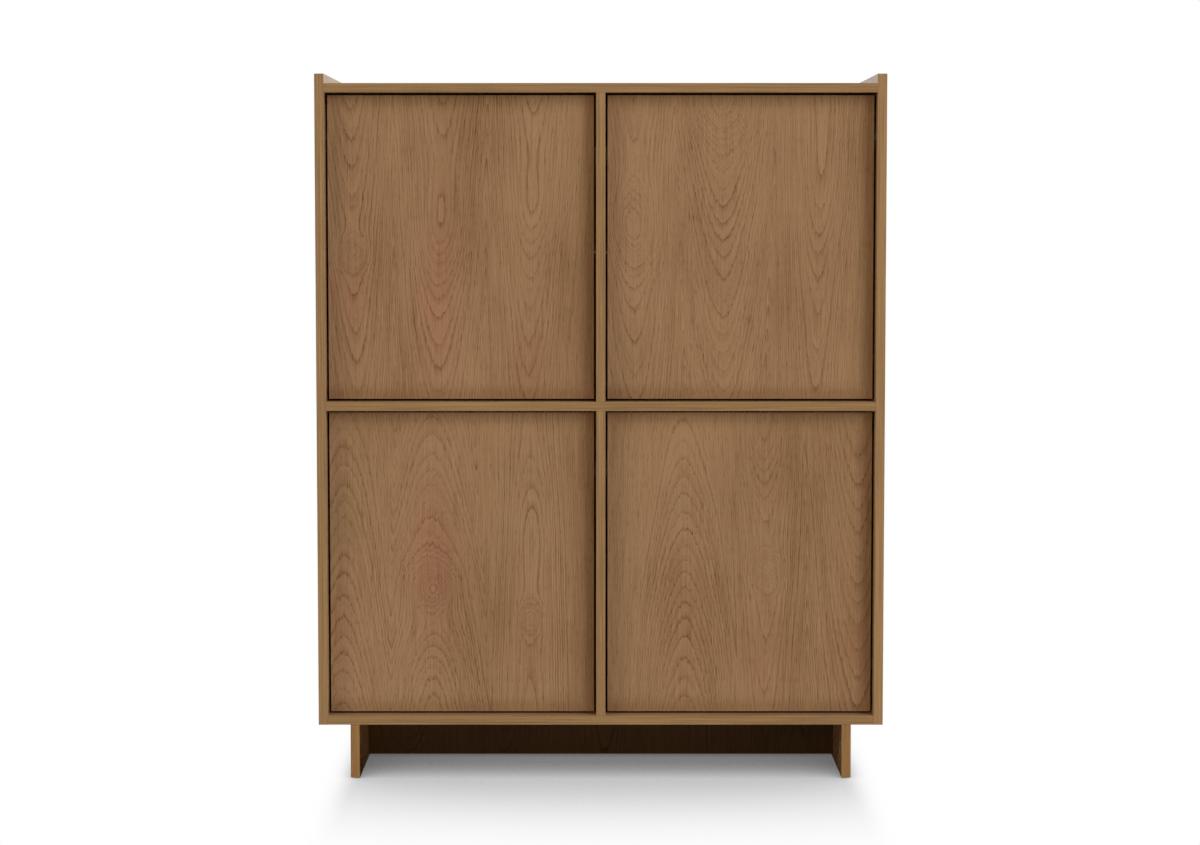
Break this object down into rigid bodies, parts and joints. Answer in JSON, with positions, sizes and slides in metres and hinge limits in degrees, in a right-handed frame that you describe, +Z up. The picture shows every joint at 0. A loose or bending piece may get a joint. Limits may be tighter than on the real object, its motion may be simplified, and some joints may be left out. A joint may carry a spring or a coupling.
{
  "type": "highboard",
  "caption": "Tall veneered cabinet with inset handle-less doors on concealed hinges, loose shelves behind them, raised side lips and panel feet joined by a set-back rail.",
  "frame": {"origin": "on the floor, under the middle of the cabinet", "axes": "+Z up, front towards -Y, +X to the right seen from the front"},
  "size_m": [1.1, 0.4, 1.37],
  "materials": {
    "oak_veneer": "satin lacquered flat-cut oak veneer stained mid brown",
    "back_veneer": "matt brown veneer on thin board",
    "beech_dowel": "plain pale beech",
    "nickel_steel": "nickel-plated pressed steel",
    "pin_steel": "bright drawn steel",
    "screw_steel": "zinc-plated steel",
    "latch_plastic": "dark grey moulded plastic",
    "plunger_plastic": "mid grey moulded plastic",
    "glide_plastic": "dark brown moulded plastic"
  },
  "bodies": {
    "carcass": {"bottom_panel": "oak_veneer", "carcass_dowels": "beech_dowel", "floor_glides": "glide_plastic", "foot_rail": "oak_veneer", "hinge_arm_screws": "screw_steel", "hinge_plate_screws": "screw_steel", "latch_screws": "screw_steel", "left_foot": "oak_veneer", "left_side": "oak_veneer", "lower_back_panel": "back_veneer", "lower_divider": "oak_veneer", "lower_left_hinge_arms": "nickel_steel", "lower_left_hinge_plates": "nickel_steel", "lower_left_latch_housing": "latch_plastic", "lower_left_shelf": "oak_veneer", "lower_right_hinge_arms": "nickel_steel", "lower_right_hinge_plates": "nickel_steel", "lower_right_latch_housing": "latch_plastic", "lower_right_shelf": "oak_veneer", "middle_shelf": "oak_veneer", "right_foot": "oak_veneer", "right_side": "oak_veneer", "shelf_pins": "pin_steel", "top_panel": "oak_veneer", "upper_back_panel": "back_veneer", "upper_divider": "oak_veneer", "upper_left_hinge_arms": "nickel_steel", "upper_left_hinge_plates": "nickel_steel", "upper_left_latch_housing": "latch_plastic", "upper_left_shelf": "oak_veneer", "upper_right_hinge_arms": "nickel_steel", "upper_right_hinge_plates": "nickel_steel", "upper_right_latch_housing": "latch_plastic", "upper_right_shelf": "oak_veneer"},
    "upper_left_door": {"upper_left_door": "oak_veneer", "upper_left_hinge_cups": "nickel_steel", "upper_left_hinge_pins": "pin_steel", "upper_left_cup_screws": "screw_steel", "upper_left_strike_plate": "nickel_steel"},
    "upper_left_plunger": {"upper_left_latch_plunger": "plunger_plastic"},
    "upper_right_door": {"upper_right_door": "oak_veneer", "upper_right_hinge_cups": "nickel_steel", "upper_right_hinge_pins": "pin_steel", "upper_right_cup_screws": "screw_steel", "upper_right_strike_plate": "nickel_steel"},
    "upper_right_plunger": {"upper_right_latch_plunger": "plunger_plastic"},
    "lower_left_door": {"lower_left_door": "oak_veneer", "lower_left_hinge_cups": "nickel_steel", "lower_left_hinge_pins": "pin_steel", "lower_left_cup_screws": "screw_steel", "lower_left_strike_plate": "nickel_steel"},
    "lower_left_plunger": {"lower_left_latch_plunger": "plunger_plastic"},
    "lower_right_door": {"lower_right_door": "oak_veneer", "lower_right_hinge_cups": "nickel_steel", "lower_right_hinge_pins": "pin_steel", "lower_right_cup_screws": "screw_steel", "lower_right_strike_plate": "nickel_steel"},
    "lower_right_plunger": {"lower_right_latch_plunger": "plunger_plastic"}
  },
  "joints": [
    {"name": "upper_left_door_hinge", "type": "hinge", "parent": "carcass", "child": "upper_left_door", "pos_m": [-0.5085, -0.172, 1.036], "axis": [0, 0, -1], "range_deg": [0, 95]},
    {"name": "upper_left_latch_slide", "type": "slide", "parent": "carcass", "child": "upper_left_plunger", "axis": [0, -1, 0], "range_m": [0, 0.02]},
    {"name": "upper_right_door_hinge", "type": "hinge", "parent": "carcass", "child": "upper_right_door", "pos_m": [0.5085, -0.172, 1.036], "axis": [0, 0, 1], "range_deg": [0, 95]},
    {"name": "upper_right_latch_slide", "type": "slide", "parent": "carcass", "child": "upper_right_plunger", "axis": [0, -1, 0], "range_m": [0, 0.02]},
    {"name": "lower_left_door_hinge", "type": "hinge", "parent": "carcass", "child": "lower_left_door", "pos_m": [-0.5085, -0.172, 0.422], "axis": [0, 0, -1], "range_deg": [0, 95]},
    {"name": "lower_left_latch_slide", "type": "slide", "parent": "carcass", "child": "lower_left_plunger", "axis": [0, -1, 0], "range_m": [0, 0.02]},
    {"name": "lower_right_door_hinge", "type": "hinge", "parent": "carcass", "child": "lower_right_door", "pos_m": [0.5085, -0.172, 0.422], "axis": [0, 0, 1], "range_deg": [0, 95]},
    {"name": "lower_right_latch_slide", "type": "slide", "parent": "carcass", "child": "lower_right_plunger", "axis": [0, -1, 0], "range_m": [0, 0.02]}
  ],
  "couplings": [
    {"joint": "upper_left_latch_slide", "follows": "upper_left_door_hinge", "m_per_rad": 0.012},
    {"joint": "upper_right_latch_slide", "follows": "upper_right_door_hinge", "m_per_rad": 0.012},
    {"joint": "lower_left_latch_slide", "follows": "lower_left_door_hinge", "m_per_rad": 0.012},
    {"joint": "lower_right_latch_slide", "follows": "lower_right_door_hinge", "m_per_rad": 0.012}
  ]
}
